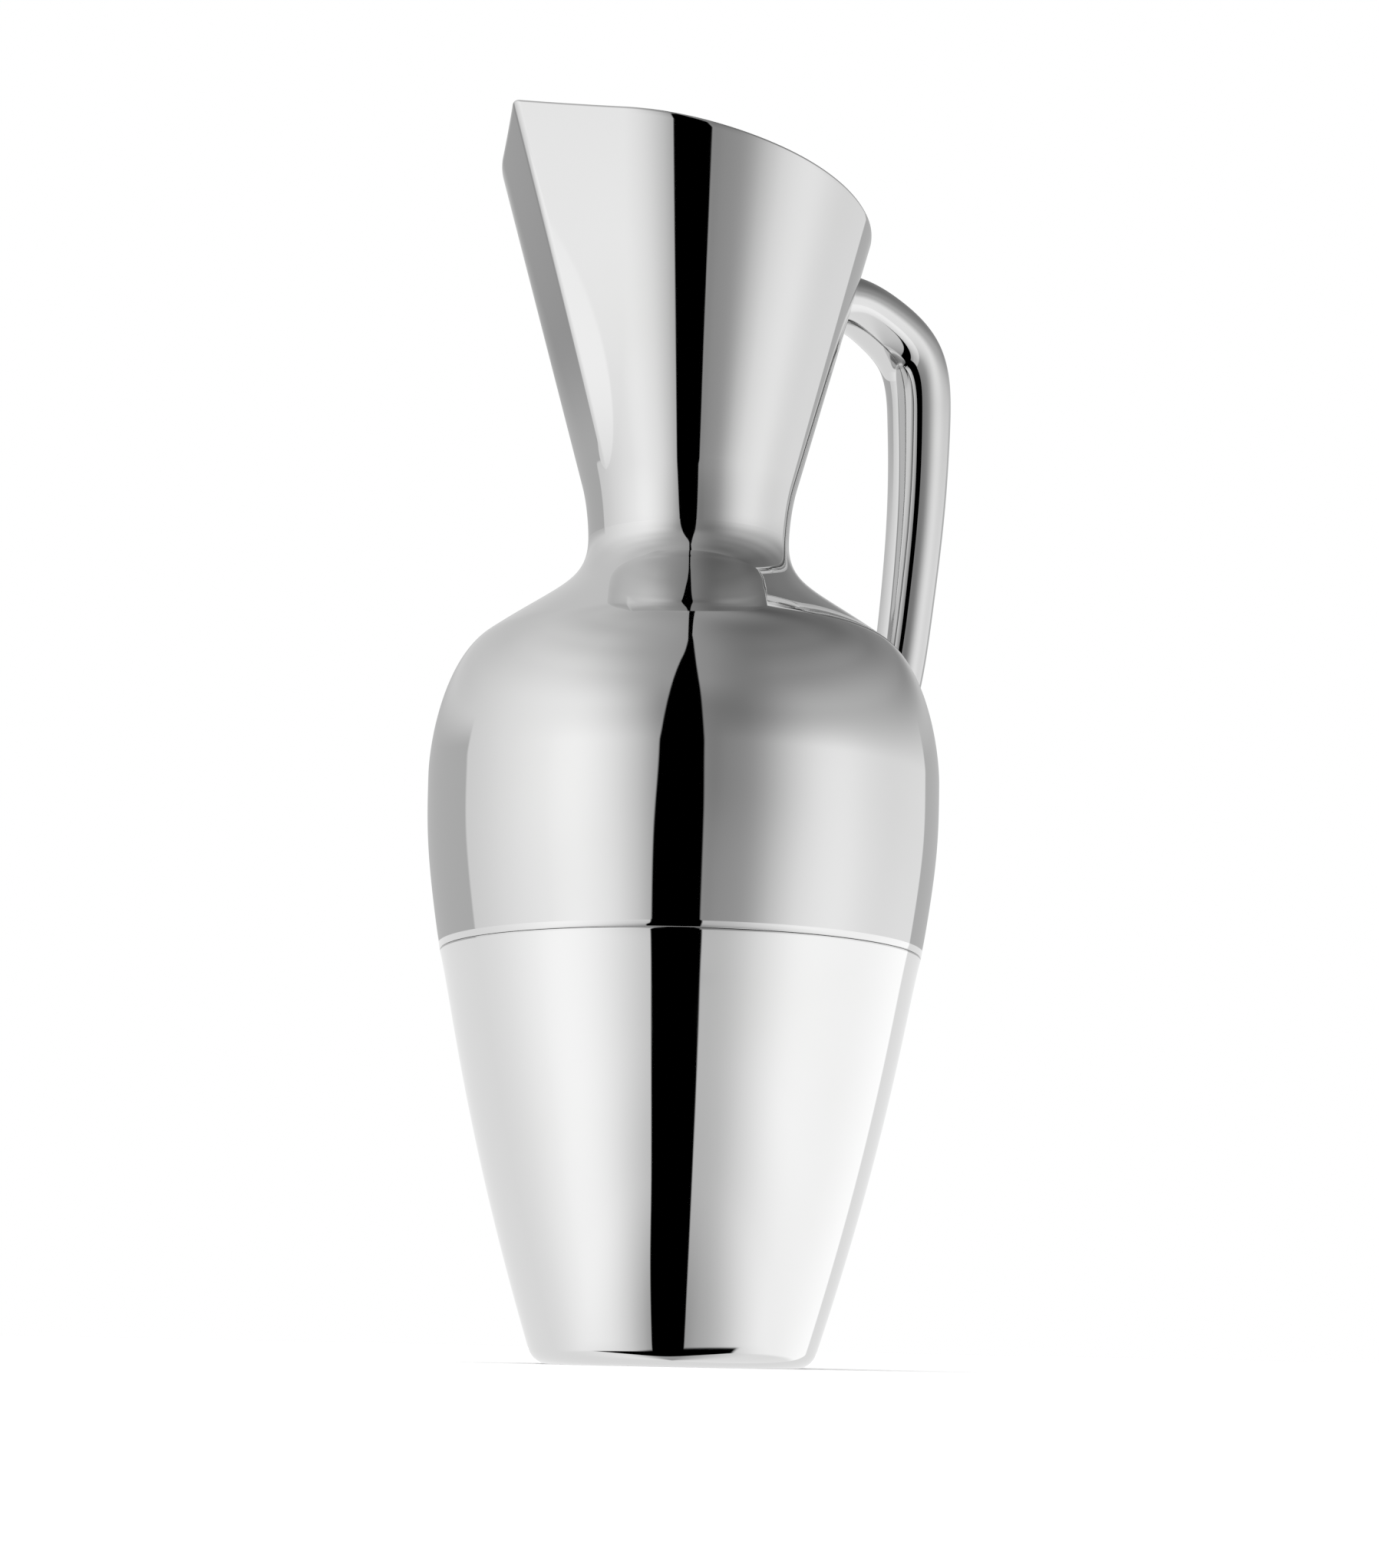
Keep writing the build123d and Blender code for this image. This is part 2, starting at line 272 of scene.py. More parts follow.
edge = wall / 2
neckOut = trace([neckSide], 0, mouth["neckSteps"])
neckIn = trace([neckSide], wall, mouth["neckSteps"])
points, faces = [], []
angles = mouthAngles()
for angle in angles:
    direction = Vector((-cos(angle), -sin(angle), 0))
    top = rimOf(angle) - edge - mouth["under"]
    low = body["coneZ"] + mouth["startUp"]
    column = [direction * r + Vector((0, 0, z)) for r, z in neckOut]
    rows = [low + (top - low) * k / mouth["rows"] for k in range(mouth["rows"] + 1)]
    outer = [mouthPoint(angle, z) for z in rows]
    normals = [mouthNormal(angle, z) for z in rows]
    sign = 1 if normals[0].dot(direction) > 0 else -1
    inner = [p - n * sign * wall for p, n in zip(outer, normals)]
    # rounded rim between the two faces
    across = (outer[-1] - inner[-1]) / 2
    middle = (outer[-1] + inner[-1]) / 2
    rise = (outer[-1] - outer[-2]).normalized() * edge
    turns = [pi * k / mouth["edgeSteps"] for k in range(1, mouth["edgeSteps"])]
    column += outer + [middle + across * cos(a) + rise * sin(a) for a in turns] + inner[::-1]
    column += [direction * r + Vector((0, 0, z)) for r, z in neckIn[::-1]]
    points.append(column)
rowCount = len(points[0])
flat = [p for column in points for p in column]
for i in range(len(angles)):
    j = (i + 1) % len(angles)
    for k in range(rowCount):
        m = (k + 1) % rowCount
        faces.append((i * rowCount + k, j * rowCount + k, j * rowCount + m, i * rowCount + m))
mouthFunnel = closeUp(freshMesh("MouthFunnel", flat, (), faces), angle=40)
print("mouth drawn out")


handle = {
    "line": [(42.0, 293.2), (57.0, 295.3), (69.5, 292.0), (80.7, 284.4), (84.5, 266.0), (83.6, 240.0),
             (80.2, 211.0), (76.4, 190.0), (70.0, 173.5), (58.0, 161.5)],
    "startDir": (1.0, 0.2), "endDir": (-1.0, -0.6),
    "radii": [7.4, 7.9, 8.7, 9.3, 9.05, 8.6, 8.2, 7.85, 7.55, 7.35, 7.2, 7.1, 7.1],
    "steps": 260, "sides": 96, "smooth": 40,
    # the ends reach this far into the walls
    "sink": 0.3, "cutFrom": 150.0, "cutTurns": 240,
}


def splineThrough(line, startDir, endDir):
    # smooth cubic through the points with given end directions
    knots = [0.0]
    for p, q in zip(line, line[1:]):
        knots.append(knots[-1] + hypot(q[0] - p[0], q[1] - p[1]))
    n = len(line)
    slopes = []
    for axis in range(2):
        v = [p[axis] for p in line]
        h = [knots[i + 1] - knots[i] for i in range(n - 1)]
        lowD, midD, highD, rhs = [0.0] * n, [1.0] * n, [0.0] * n, [0.0] * n
        rhs[0] = startDir[axis] / hypot(*startDir)
        rhs[-1] = endDir[axis] / hypot(*endDir)
        for i in range(1, n - 1):
            lowD[i], midD[i], highD[i] = h[i], 2 * (h[i - 1] + h[i]), h[i - 1]
            rhs[i] = 3 * (h[i - 1] * (v[i + 1] - v[i]) / h[i] + h[i] * (v[i] - v[i - 1]) / h[i - 1])
        for i in range(1, n):
            w = lowD[i] / midD[i - 1]
            midD[i] -= w * highD[i - 1]
            rhs[i] -= w * rhs[i - 1]
        m = [0.0] * n
        m[-1] = rhs[-1] / midD[-1]
        for i in range(n - 2, -1, -1):
            m[i] = (rhs[i] - highD[i] * m[i + 1]) / midD[i]
        slopes.append(m)

    def at(u):
        i = 0
        while i < n - 2 and u > knots[i + 1]:
            i += 1
        h = knots[i + 1] - knots[i]
        t = (u - knots[i]) / h
        place, way = [], []
        for axis in range(2):
            p, q = line[i][axis], line[i + 1][axis]
            s, e = slopes[axis][i] * h, slopes[axis][i + 1] * h
            place.append((2 * t**3 - 3 * t**2 + 1) * p + (t**3 - 2 * t**2 + t) * s
                         + (3 * t**2 - 2 * t**3) * q + (t**3 - t**2) * e)
            way.append(((6 * t**2 - 6 * t) * (p - q) + (3 * t**2 - 4 * t + 1) * s
                        + (3 * t**2 - 2 * t) * e) / h)
        return place, way
    return at, knots[-1]


def gripRadius(s):
    # half the thickness at a share s of the length
    radii = handle["radii"]
    x = s * (len(radii) - 1)
    i = min(max(int(x), 1), len(radii) - 3)
    t = x - i
    p = [radii[i - 1], radii[i], radii[i + 1], radii[i + 2]]
    return 0.5 * (2 * p[1] + (p[2] - p[0]) * t + (2 * p[0] - 5 * p[1] + 4 * p[2] - p[3]) * t**2
                  + (3 * p[1] - p[0] - 3 * p[2] + p[3]) * t**3)


gripAt, gripLength = splineThrough(handle["line"], handle["startDir"], handle["endDir"])
points, faces = [], []
for i in range(handle["steps"] + 1):
    s = i / handle["steps"]
    place, way = gripAt(s * gripLength)
    centre = Vector((place[0], 0, place[1]))
    forward = Vector((way[0], 0, way[1])).normalized()
    side = Vector((0, 1, 0))
    out = forward.cross(side)
    r = gripRadius(s)
    turns = [2 * pi * k / handle["sides"] for k in range(handle["sides"])]
    points += [centre + (out * cos(a) + side * sin(a)) * r for a in turns]
n = handle["sides"]
for i in range(handle["steps"]):
    faces += [(i * n + k, i * n + (k + 1) % n, (i + 1) * n + (k + 1) % n, (i + 1) * n + k)
              for k in range(n)]
faces += [tuple(range(n)), tuple(range(handle["steps"] * n, (handle["steps"] + 1) * n))]
grip = closeUp(freshMesh("Handle", points, (), faces), angle=handle["smooth"])

# the ends of the tube are cut to the cone and the shoulder that they stand on
sink = handle["sink"]
shell = [(0, handle["cutFrom"])]
shell += [bezierPoint(shoulderSide, k / 40, sink) for k in range(8, 41)]
shell += [bezierPoint(hollowSide, k / 40, sink) for k in range(1, 41)]
shell += [bezierPoint(neckSide, k / 10, sink) for k in range(1, 11)]
shell += [(coneFoot[0] + body["coneSlope"] * h - sink, coneFoot[1] + h) for h in range(8, 84, 4)]
shell += [(0, shell[-1][1])]
cutter = turn("GripCutter", shell, handle["cutTurns"])
cut = grip.modifiers.new("cut", "BOOLEAN")
cut.operation, cut.solver, cut.object = "DIFFERENCE", "EXACT", cutter
bpy.ops.object.select_all(action="DESELECT")
bpy.context.view_layer.objects.active = grip
grip.select_set(True)
bpy.ops.object.modifier_apply(modifier="cut")
bpy.data.objects.remove(cutter)
bpy.ops.object.shade_smooth_by_angle(angle=radians(handle["smooth"]))
print("handle bent")


def link(tree, start, end):
    tree.links.new(start, end)


def makeGroup(name, inputs, outputs):
    group = bpy.data.node_groups.new(name, "ShaderNodeTree")
    for label, kind, value in inputs:
        socket = group.interface.new_socket(name=label, in_out="INPUT", socket_type=kind)
        if value is not None:
            socket.default_value = value
    for label, kind in outputs:
        group.interface.new_socket(name=label, in_out="OUTPUT", socket_type=kind)
    return group, group.nodes.new("NodeGroupInput"), group.nodes.new("NodeGroupOutput")


def polishHaze():
    # faint clouds left by the polishing cloth, for roughness and colour
    group, start, end = makeGroup(
        "PolishHaze",
        [("Place", "NodeSocketVector", None), ("Clear Roughness", "NodeSocketFloat", 0.02),
         ("Haze Roughness", "NodeSocketFloat", 0.06), ("Silver", "NodeSocketColor", (0.94, 0.94, 0.94, 1)),
         ("Dull Silver", "NodeSocketColor", (0.91, 0.91, 0.905, 1))],
        [("Roughness", "NodeSocketFloat"), ("Colour", "NodeSocketColor")])
    clouds = group.nodes.new("ShaderNodeTexNoise")
    clouds.inputs["Scale"].default_value = 22
    clouds.inputs["Detail"].default_value = 4
    spread = group.nodes.new("ShaderNodeMapRange")
    spread.interpolation_type = "SMOOTHSTEP"
    spread.inputs["From Min"].default_value = 0.45
    spread.inputs["From Max"].default_value = 0.8
    rough = group.nodes.new("ShaderNodeMix")
    rough.data_type = "FLOAT"
    colour = group.nodes.new("ShaderNodeMix")
    colour.data_type = "RGBA"
    link(group, start.outputs["Place"], clouds.inputs["Vector"])
    link(group, clouds.outputs["Fac"], spread.inputs["Value"])
    link(group, spread.outputs["Result"], rough.inputs["Factor"])
    link(group, start.outputs["Clear Roughness"], rough.inputs["A"])
    link(group, start.outputs["Haze Roughness"], rough.inputs["B"])
    link(group, spread.outputs["Result"], colour.inputs["Factor"])
    link(group, start.outputs["Silver"], colour.inputs["A"])
    link(group, start.outputs["Dull Silver"], colour.inputs["B"])
    link(group, rough.outputs["Result"], end.inputs["Roughness"])
    link(group, colour.outputs["Result"], end.inputs["Colour"])
    return group


def fineScratches():
    # hairlines of cleaning, put out as a height
    group, start, end = makeGroup(
        "FineScratches",
        [("Place", "NodeSocketVector", None), ("Fineness", "NodeSocketFloat", 900.0)],
        [("Height", "NodeSocketFloat")])
    stretch = group.nodes.new("ShaderNodeVectorMath")
    stretch.operation = "MULTIPLY"
    stretch.inputs[1].default_value = (1.0, 1.0, 0.08)
    lines = group.nodes.new("ShaderNodeTexNoise")
    lines.inputs["Detail"].default_value = 2
    link(group, start.outputs["Place"], stretch.inputs[0])
    link(group, stretch.outputs["Vector"], lines.inputs["Vector"])
    link(group, start.outputs["Fineness"], lines.inputs["Scale"])
    link(group, lines.outputs["Fac"], end.inputs["Height"])
    return group


def lipShadeMask():
    # mask of the far side of the lip, which faces away from the camera; it marks painted shade that stands
    # for the darker reflection seen there; places in metres
    group, start, end = makeGroup(
        "LipFilm",
        [("Place", "NodeSocketVector", None), ("Depth", "NodeSocketFloat", 0.34)],
        [("Mask", "NodeSocketFloat")])
    apart = group.nodes.new("ShaderNodeSeparateXYZ")
    link(group, start.outputs["Place"], apart.inputs["Vector"])
    last = start.outputs["Depth"]
    for axis, low, high in (("Y", 0.0, 0.0012), ("X", -0.018, -0.030), ("Z", 0.236, 0.270)):
        fade = group.nodes.new("ShaderNodeMapRange")
        fade.interpolation_type = "SMOOTHSTEP"
        fade.inputs["From Min"].default_value = low
        fade.inputs["From Max"].default_value = high
        both = group.nodes.new("ShaderNodeMath")
        both.operation = "MULTIPLY"
        link(group, apart.outputs[axis], fade.inputs["Value"])
        link(group, fade.outputs["Result"], both.inputs[0])
        link(group, last, both.inputs[1])
        last = both.outputs["Value"]
    link(group, last, end.inputs["Mask"])
    return group


haze = polishHaze()
scratches = fineScratches()
lipShadeGroup = lipShadeMask()


def silver(name, tone, clear=0.02, hazy=0.045, lines=0.004):
    material = bpy.data.materials.new(name)
    material.use_nodes = True
    tree = material.node_tree
    shader = tree.nodes["Principled BSDF"]
    shader.inputs["Metallic"].default_value = 1.0
    place = tree.nodes.new("ShaderNodeTexCoord")
    polish = tree.nodes.new("ShaderNodeGroup")
    polish.node_tree = haze
    polish.inputs["Clear Roughness"].default_value = clear
    polish.inputs["Haze Roughness"].default_value = hazy
    polish.inputs["Silver"].default_value = (tone, tone, tone, 1)
    polish.inputs["Dull Silver"].default_value = (tone * 0.985, tone * 0.985, tone * 0.98, 1)
    hair = tree.nodes.new("ShaderNodeGroup")
    hair.node_tree = scratches
    bump = tree.nodes.new("ShaderNodeBump")
    bump.inputs["Strength"].default_value = lines
    bump.inputs["Distance"].default_value = 0.00005
    link(tree, place.outputs["Object"], polish.inputs["Place"])
    link(tree, place.outputs["Object"], hair.inputs["Place"])
    link(tree, polish.outputs["Colour"], shader.inputs["Base Color"])
    link(tree, polish.outputs["Roughness"], shader.inputs["Roughness"])
    link(tree, hair.outputs["Height"], bump.inputs["Height"])
    link(tree, bump.outputs["Normal"], shader.inputs["Normal"])
    return material


def paintLipShade(material):
    # painted shade: the mask darkens the silver on the far flank of the mouth's lip
    tree = material.node_tree
    shader = tree.nodes["Principled BSDF"]
    colour = shader.inputs["Base Color"].links[0].from_socket
    place = tree.nodes.new("ShaderNodeTexCoord")
    mask = tree.nodes.new("ShaderNodeGroup")
    mask.node_tree = lipShadeGroup
    darker = tree.nodes.new("ShaderNodeMix")
    darker.data_type = "RGBA"
    darker.inputs["B"].default_value = (0, 0, 0, 1)
    link(tree, place.outputs["Object"], mask.inputs["Place"])
    link(tree, mask.outputs["Mask"], darker.inputs["Factor"])
    link(tree, colour, darker.inputs["A"])
    link(tree, darker.outputs["Result"], shader.inputs["Base Color"])


# one silver in several tones, from the lower body at 0.735 down to the mouth at 0.69: painted light,
# lighter and darker copies of one metal, set to how bright each part looks
lowerSilver = silver("LowerSilver", 0.735)
upperSilver = silver("UpperSilver", 0.72)
mouthSilver = silver("MouthSilver", 0.69)
# painted shade on the far flank of the lip
paintLipShade(mouthSilver)
gripSilver = silver("GripSilver", 0.70)
insideSilver = silver("InsideSilver", 0.66, 0.12, 0.2)

for piece, material, slot, nodes in (
        (lowerBody, lowerSilver, "lower_body", ["lower_body"]),
        (basePlate, insideSilver, "base_plate", ["base_plate"]),
        (shoulder, upperSilver, "shoulder", ["shoulder"]),
        (mouthFunnel, mouthSilver, "mouth_funnel", ["mouth_funnel"]),
        (grip, gripSilver, "handle_left_half", ["handle_left_half", "handle_right_half"])):
    piece.data.materials.clear()
    piece.data.materials.append(material)
    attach(piece, "root")
    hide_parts(*nodes)
for name in ("seam_collar", "neck_collar", "handle_upper_end_plate", "handle_lower_end_plate"):
    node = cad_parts[name]
    node.data.materials.clear()
    node.data.materials.append(insideSilver)
print("silver on")


# height and heading in degrees, heading 0 towards the camera and + to the right;
# grey = brightness as seen in the silver
studio = {
    "camera": -39.8,
    # share of the light that the silver gives back; the surround is brighter by as much
    "mirror": 0.72,
    # the line between table and walls lies higher to the sides
    "tableEdge": -16.65, "tableRise": 20.1, "tableReach": 160.0, "tableBend": 1.66,
    "tableSoft": 0.2,
    "table": [
        {"height": -35, "greys": [(-180, 0.82), (-100, 0.83), (-72, 0.86), (-52, 0.87), (-36, 0.78),
                                  (-24, 0.66), (-16, 0.56), (10, 0.56), (20, 0.63), (36, 0.69),
                                  (54, 0.79), (74, 0.85), (96, 0.84), (128, 0.87), (180, 0.86)]},
        {"height": -26, "greys": [(-180, 0.83), (-120, 0.82), (-96, 0.85), (-74, 0.925), (-60, 0.94),
                                  (-45, 0.92), (-30, 0.83), (-14, 0.70), (11, 0.68), (24, 0.71),
                                  (36, 0.79), (50, 0.87), (62, 0.90), (76, 0.925), (100, 0.92),
                                  (128, 0.965), (180, 0.965)]},
        {"height": -18, "greys": [(-180, 0.83), (-120, 0.82), (-96, 0.85), (-74, 0.925), (-60, 0.955),
                                  (-45, 0.935), (-30, 0.86), (-14, 0.74), (11, 0.69), (24, 0.73),
                                  (36, 0.82), (50, 0.91), (62, 0.945), (76, 0.945), (100, 0.93),
                                  (128, 0.97), (180, 0.97)]},
    ],
    "walls": [
        {"height": -15.7, "greys": [(-180, 0.78), (-112, 0.78), (-90, 0.835), (-63, 0.90), (-50, 0.93),
                                    (-40, 0.905), (-30, 0.87), (-20, 0.76), (-13, 0.66), (9, 0.50),
                                    (15, 0.55), (22, 0.56), (31, 0.60), (41, 0.74), (54, 0.86),
                                    (75, 0.92), (90, 0.88), (106, 0.86), (126, 0.89), (180, 0.87)]},
        {"height": 8, "greys": [(-180, 0.78), (-112, 0.78), (-90, 0.84), (-63, 0.925), (-50, 0.95),
                                (-40, 0.92), (-30, 0.86), (-20, 0.75), (-12, 0.62), (10, 0.44),
                                (18, 0.50), (30, 0.54), (41, 0.69), (52, 0.81), (63, 0.88), (76, 0.90),
                                (89, 0.86), (106, 0.83), (126, 0.85), (180, 0.82)]},
        {"height": 25, "greys": [(-180, 0.72), (-138, 0.74), (-114, 0.79), (-85, 0.865), (-55, 0.91),
                                 (-43, 0.88), (-32, 0.81), (-21, 0.69), (-11, 0.53), (11, 0.45),
                                 (22, 0.435), (32, 0.46), (45, 0.58), (60, 0.675), (80, 0.68),
                                 (100, 0.665), (120, 0.62), (145, 0.50), (180, 0.48)]},
        {"height": 38, "greys": [(-180, 0.7), (-126, 0.745), (-104, 0.79), (-75, 0.84), (-60, 0.84),
                                 (-48, 0.81), (-35, 0.74), (-23, 0.65), (-12, 0.59), (12, 0.53),
                                 (24, 0.475), (36, 0.47), (49, 0.52), (70, 0.54), (92, 0.55),
                                 (110, 0.52), (131, 0.46), (180, 0.42)]},
        {"height": 50, "greys": [(-180, 0.7), (-120, 0.765), (-85, 0.79), (-55, 0.76), (-40, 0.695),
                                 (-27, 0.63), (-12, 0.58), (0, 0.56), (14, 0.53), (28, 0.46),
                                 (42, 0.44), (56, 0.465), (90, 0.47), (106, 0.44), (126, 0.39),
                                 (180, 0.4)]},
        {"height": 64, "greys": [(-180, 0.66), (-127, 0.735), (-90, 0.72), (-56, 0.68), (-37, 0.64),
                                 (-19, 0.60), (0, 0.57), (20, 0.49), (40, 0.42), (60, 0.40), (80, 0.41),
                                 (110, 0.43), (140, 0.31), (180, 0.36)]},
        {"height": 88, "greys": [(-180, 0.6), (0, 0.55), (180, 0.55)]},
    ],
    # dark gap between the two walls where the camera looks through: left and right edge by height
    "gapLeft": [(-90, -17.8), (-35, -17.8), (-25, -15.0), (-15, -14.0), (0, -12.4), (12, -10.7),
                (23, -9.3), (32, -7.5), (38, -5.8), (45, -3.2), (50, -1.0), (60, 1.6), (66, 3.4),
                (90, 3.4)],
    "gapRight": [(-90, 10.2), (-35, 10.2), (-25, 10.2), (-17, 10.0), (-13, 8.9), (0, 9.0), (12, 8.6),
                 (23, 8.0), (32, 7.2), (38, 6.3), (45, 5.4), (50, 5.0), (60, 4.4), (66, 3.4), (90, 3.4)],
    "gapGrey": 0.0, "gapEnd": -60, "gapEndSoft": 2, "gapSoft": 0.5, "gapSpan": 20,
    # the gap runs on overhead as a narrow slot, measured sideways
    "slotMiddle": 0.022, "slotHalf": 0.013, "slotSoft": 0.001, "slotFrom": 52, "slotFromSoft": 2,
    # dark strip on the table close in front, lens shaped: upper edge, its bend up to the sides, depth
    "stripTop": -37.0, "stripBend": 6.0, "stripDepth": 27.0, "stripMiddle": -8.0, "stripReach": 72.0,
    "stripSoft": 0.3, "stripFade": 1.5,
    # backdrop behind the pitcher
    "backLeft": -113, "backLeftSoft": 1.0, "backRight": 138, "backRightSoft": 0.8,
    "backLow": 0.83, "backHigh": 0.655, "backTop": 12, "backTopEnd": 20,
}


def toLinear(grey):
    return grey / 12.92 if grey < 0.04 else ((grey + 0.055) / 1.055) ** 2.4


world = bpy.data.worlds.new("Studio")
bpy.context.scene.world = world
world.use_nodes = True
tree = world.node_tree
tree.nodes.clear()


def setInput(socket, value):
    if isinstance(value, (int, float)):
        socket.default_value = value
    else:
        link(tree, value, socket)


def addMath(operation, *values):
    node = tree.nodes.new("ShaderNodeMath")
    node.operation = operation
    for i, value in enumerate(values):
        setInput(node.inputs[i], value)
    return node.outputs[0]


def addRange(value, low, high, toLow=0.0, toHigh=1.0, smooth=True):
    node = tree.nodes.new("ShaderNodeMapRange")
    node.interpolation_type = "SMOOTHSTEP" if smooth else "LINEAR"
    values = {"Value": value, "From Min": low, "From Max": high, "To Min": toLow, "To Max": toHigh}
    for label, v in values.items():
        setInput(node.inputs[label], v)
    return node.outputs["Result"]


def addMix(factor, first, second):
    node = tree.nodes.new("ShaderNodeMix")
    node.data_type = "FLOAT"
    for label, v in (("Factor", factor), ("A", first), ("B", second)):
        setInput(node.inputs[label], v)
    return node.outputs["Result"]


def addDot(vector, axis):
    node = tree.nodes.new("ShaderNodeVectorMath")
    node.operation = "DOT_PRODUCT"
    link(tree, vector, node.inputs[0])
    node.inputs[1].default_value = axis
    return node.outputs["Value"]


direction = tree.nodes.new("ShaderNodeTexCoord").outputs["Generated"]
turnBy = radians(studio["camera"])
across = addDot(direction, (cos(turnBy), sin(turnBy), 0))
away = addDot(direction, (-sin(turnBy), cos(turnBy), 0))
rise = addDot(direction, (0, 0, 1))
heading = addMath("MULTIPLY", addMath("ARCTAN2", across, addMath("MULTIPLY", away, -1.0)), 180 / pi)
height = addMath("MULTIPLY", addMath("ARCSINE", rise), 180 / pi)
headingPart = addRange(heading, -180, 180, smooth=False)
heightPart = addRange(height, -90, 90, smooth=False)


def addRing(greys):
    # grey round the whole turn at one height
    ramp = tree.nodes.new("ShaderNodeValToRGB")
    ramp.color_ramp.interpolation = "B_SPLINE"
    elements = ramp.color_ramp.elements
    while len(elements) > 1:
        elements.remove(elements[-1])
    for i, (at, grey) in enumerate(greys):
        element = elements[0] if i == 0 else elements.new((at + 180) / 360)
        element.position = (at + 180) / 360
        value = toLinear(grey)
        element.color = (value, value, value, 1)
    link(tree, headingPart, ramp.inputs["Fac"])
    return ramp.outputs["Color"]


def addCurve(value, stops, low, high):
    node = tree.nodes.new("ShaderNodeFloatCurve")
    curve = node.mapping.curves[0]
    for at, v in stops[1:-1]:
        curve.points.new((at + 90) / 180, (v - low) / (high - low))
    curve.points[0].location = (0, (stops[0][1] - low) / (high - low))
    curve.points[-1].location = (1, (stops[-1][1] - low) / (high - low))
    for point in curve.points:
        point.handle_type = "AUTO_CLAMPED"
    node.mapping.update()
    link(tree, value, node.inputs["Value"])
    return addRange(node.outputs["Value"], 0, 1, low, high, smooth=False)


def addRings(rings):
    lit = addRing(rings[0]["greys"])
    for lowRing, highRing in zip(rings, rings[1:]):
        between = addRange(height, lowRing["height"], highRing["height"])
        lit = addMix(between, lit, addRing(highRing["greys"]))
    return lit


sideways = addMath("ABSOLUTE", addMath("DIVIDE", heading, studio["tableReach"]))
edgeRise = addMath("MULTIPLY", addMath("POWER", sideways, studio["tableBend"]), studio["tableRise"])
edgeHeight = addMath("ADD", edgeRise, studio["tableEdge"])
aboveTable = addRange(addMath("SUBTRACT", height, edgeHeight), -studio["tableSoft"], studio["tableSoft"])
light = addMix(aboveTable, addRings(studio["table"]), addRings(studio["walls"]))

backdrop = addMix(aboveTable, toLinear(studio["backLow"]), toLinear(studio["backHigh"]))
def softStep(value, edge, soft):
    # 0 below the edge and 1 above it, the other way round when soft is negative
    return addRange(value, edge - soft, edge + soft)


behind = addMath("MAXIMUM", softStep(heading, studio["backLeft"], -studio["backLeftSoft"]),
                 softStep(heading, studio["backRight"], studio["backRightSoft"]))
behind = addMath("MULTIPLY", behind, addRange(height, studio["backTopEnd"], studio["backTop"]))
light = addMix(behind, light, backdrop)

span = studio["gapSpan"]
left = addCurve(heightPart, studio["gapLeft"], -span, span)
right = addCurve(heightPart, studio["gapRight"], -span, span)
pastLeft = softStep(addMath("SUBTRACT", heading, left), 0, studio["gapSoft"])
pastRight = softStep(addMath("SUBTRACT", right, heading), 0, studio["gapSoft"])
gap = addMath("MULTIPLY", addMath("MULTIPLY", pastLeft, pastRight),
              softStep(height, studio["gapEnd"], studio["gapEndSoft"]))
aside = addMath("ABSOLUTE", addMath("SUBTRACT", across, studio["slotMiddle"]))
slot = addMath("MULTIPLY", softStep(aside, studio["slotHalf"], -studio["slotSoft"]),
               softStep(height, studio["slotFrom"], studio["slotFromSoft"]))
fromMiddle = addMath("DIVIDE", addMath("SUBTRACT", heading, studio["stripMiddle"]), studio["stripReach"])
reach = addMath("MINIMUM", addMath("POWER", addMath("ABSOLUTE", fromMiddle), 2.0), 1.0)
stripTop = addMath("ADD", studio["stripTop"], addMath("MULTIPLY", reach, studio["stripBend"]))
narrowing = addMath("POWER", addMath("SUBTRACT", 1.0, reach), 2.0)
stripDepth = addMath("MULTIPLY", narrowing, studio["stripDepth"])
below = addMath("SUBTRACT", stripTop, height)
strip = addMath("MULTIPLY", softStep(below, 0, studio["stripSoft"]),
                addRange(addMath("SUBTRACT", stripDepth, below), 0.0, studio["stripFade"]))
dark = addMath("MAXIMUM", addMath("MAXIMUM", gap, slot), strip)
light = addMix(dark, light, toLinear(studio["gapGrey"]))

path = tree.nodes.new("ShaderNodeLightPath")
seen = addMix(path.outputs["Is Camera Ray"], addMath("DIVIDE", light, studio["mirror"]), 1.0)
emit = tree.nodes.new("ShaderNodeBackground")
link(tree, seen, emit.inputs["Color"])
output = tree.nodes.new("ShaderNodeOutputWorld")
link(tree, emit.outputs["Background"], output.inputs["Surface"])

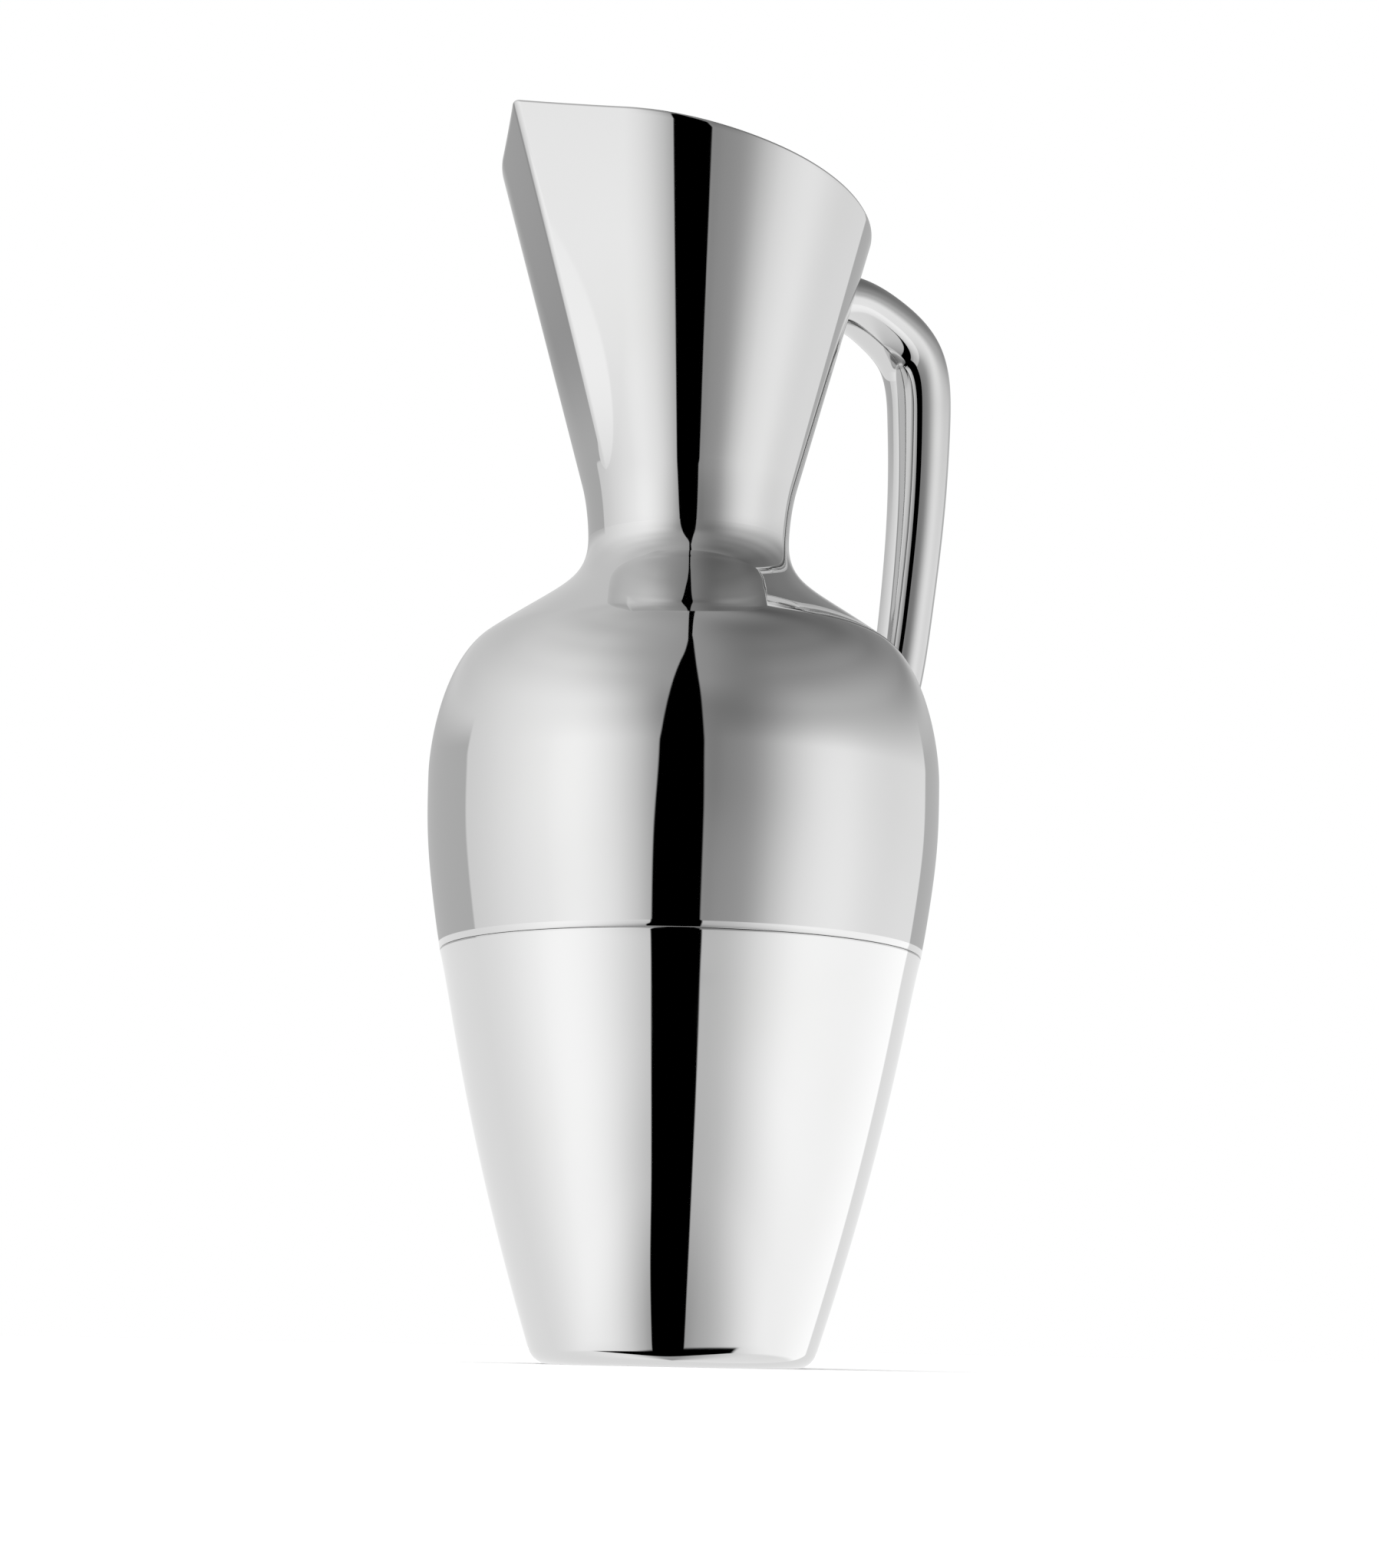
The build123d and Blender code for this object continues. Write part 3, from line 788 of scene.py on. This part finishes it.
# white table, wide enough to meet the white far away
table = {
    "size": 120, "light": (0.92, 0.92, 0.92, 1), "dark": (0.90, 0.90, 0.90, 1),
    "grain": 60, "rough": 0.9,
}
bpy.ops.mesh.primitive_plane_add(size=table["size"], location=(0, 0, 0))
floor = bpy.context.object
floor.name = "Floor"
paper = bpy.data.materials.new("Paper")
paper.use_nodes = True
paperTree = paper.node_tree
paperShader = paperTree.nodes["Principled BSDF"]
grain = paperTree.nodes.new("ShaderNodeTexNoise")
grain.inputs["Scale"].default_value = table["grain"]
tint = paperTree.nodes.new("ShaderNodeMix")
tint.data_type = "RGBA"
tint.inputs["A"].default_value = table["dark"]
tint.inputs["B"].default_value = table["light"]
paperPlace = paperTree.nodes.new("ShaderNodeTexCoord")
link(paperTree, paperPlace.outputs["Object"], grain.inputs["Vector"])
link(paperTree, grain.outputs["Fac"], tint.inputs["Factor"])
link(paperTree, tint.outputs["Result"], paperShader.inputs["Base Color"])
paperShader.inputs["Roughness"].default_value = table["rough"]
paperShader.inputs["Specular IOR Level"].default_value = 0.0
floor.data.materials.append(paper)
floor.visible_glossy = False

# soft light from above, for the table only: the silver doesn't mirror it
sun = {"energy": 3.2, "spread": 70, "height": 1.6}
lamp = bpy.data.lights.new("TopLight", "SUN")
lamp.energy, lamp.angle = sun["energy"], radians(sun["spread"])
lampHolder = bpy.data.objects.new("TopLight", lamp)
lampHolder.location = (0, 0, sun["height"])
lampHolder.visible_glossy = False
bpy.context.scene.collection.objects.link(lampHolder)
print("studio lit")

view = {
    "distance": 0.900, "height": 0.0042, "pitch": 9.306, "lean": 1.157,
    "lens": 79.26, "sensor": 36.0, "shift": 0.0037, "nearest": 0.01,
}
eye = bpy.data.cameras.new("Camera")
eye.lens, eye.sensor_width, eye.sensor_fit = view["lens"], view["sensor"], "AUTO"
eye.shift_x = view["shift"]
eye.clip_start = view["nearest"]
eyeHolder = bpy.data.objects.new("Camera", eye)
place = Vector((sin(turnBy) * view["distance"], -cos(turnBy) * view["distance"], view["height"]))
aim = Matrix.Rotation(turnBy, 4, "Z") @ Matrix.Rotation(radians(90 + view["pitch"]), 4, "X")
lean = Matrix.Rotation(radians(view["lean"]), 4, "Z")
eyeHolder.matrix_world = Matrix.Translation(place) @ aim @ lean
bpy.context.scene.collection.objects.link(eyeHolder)
bpy.context.scene.camera = eyeHolder
bpy.context.scene.view_settings.view_transform = "Standard"
print("camera set")
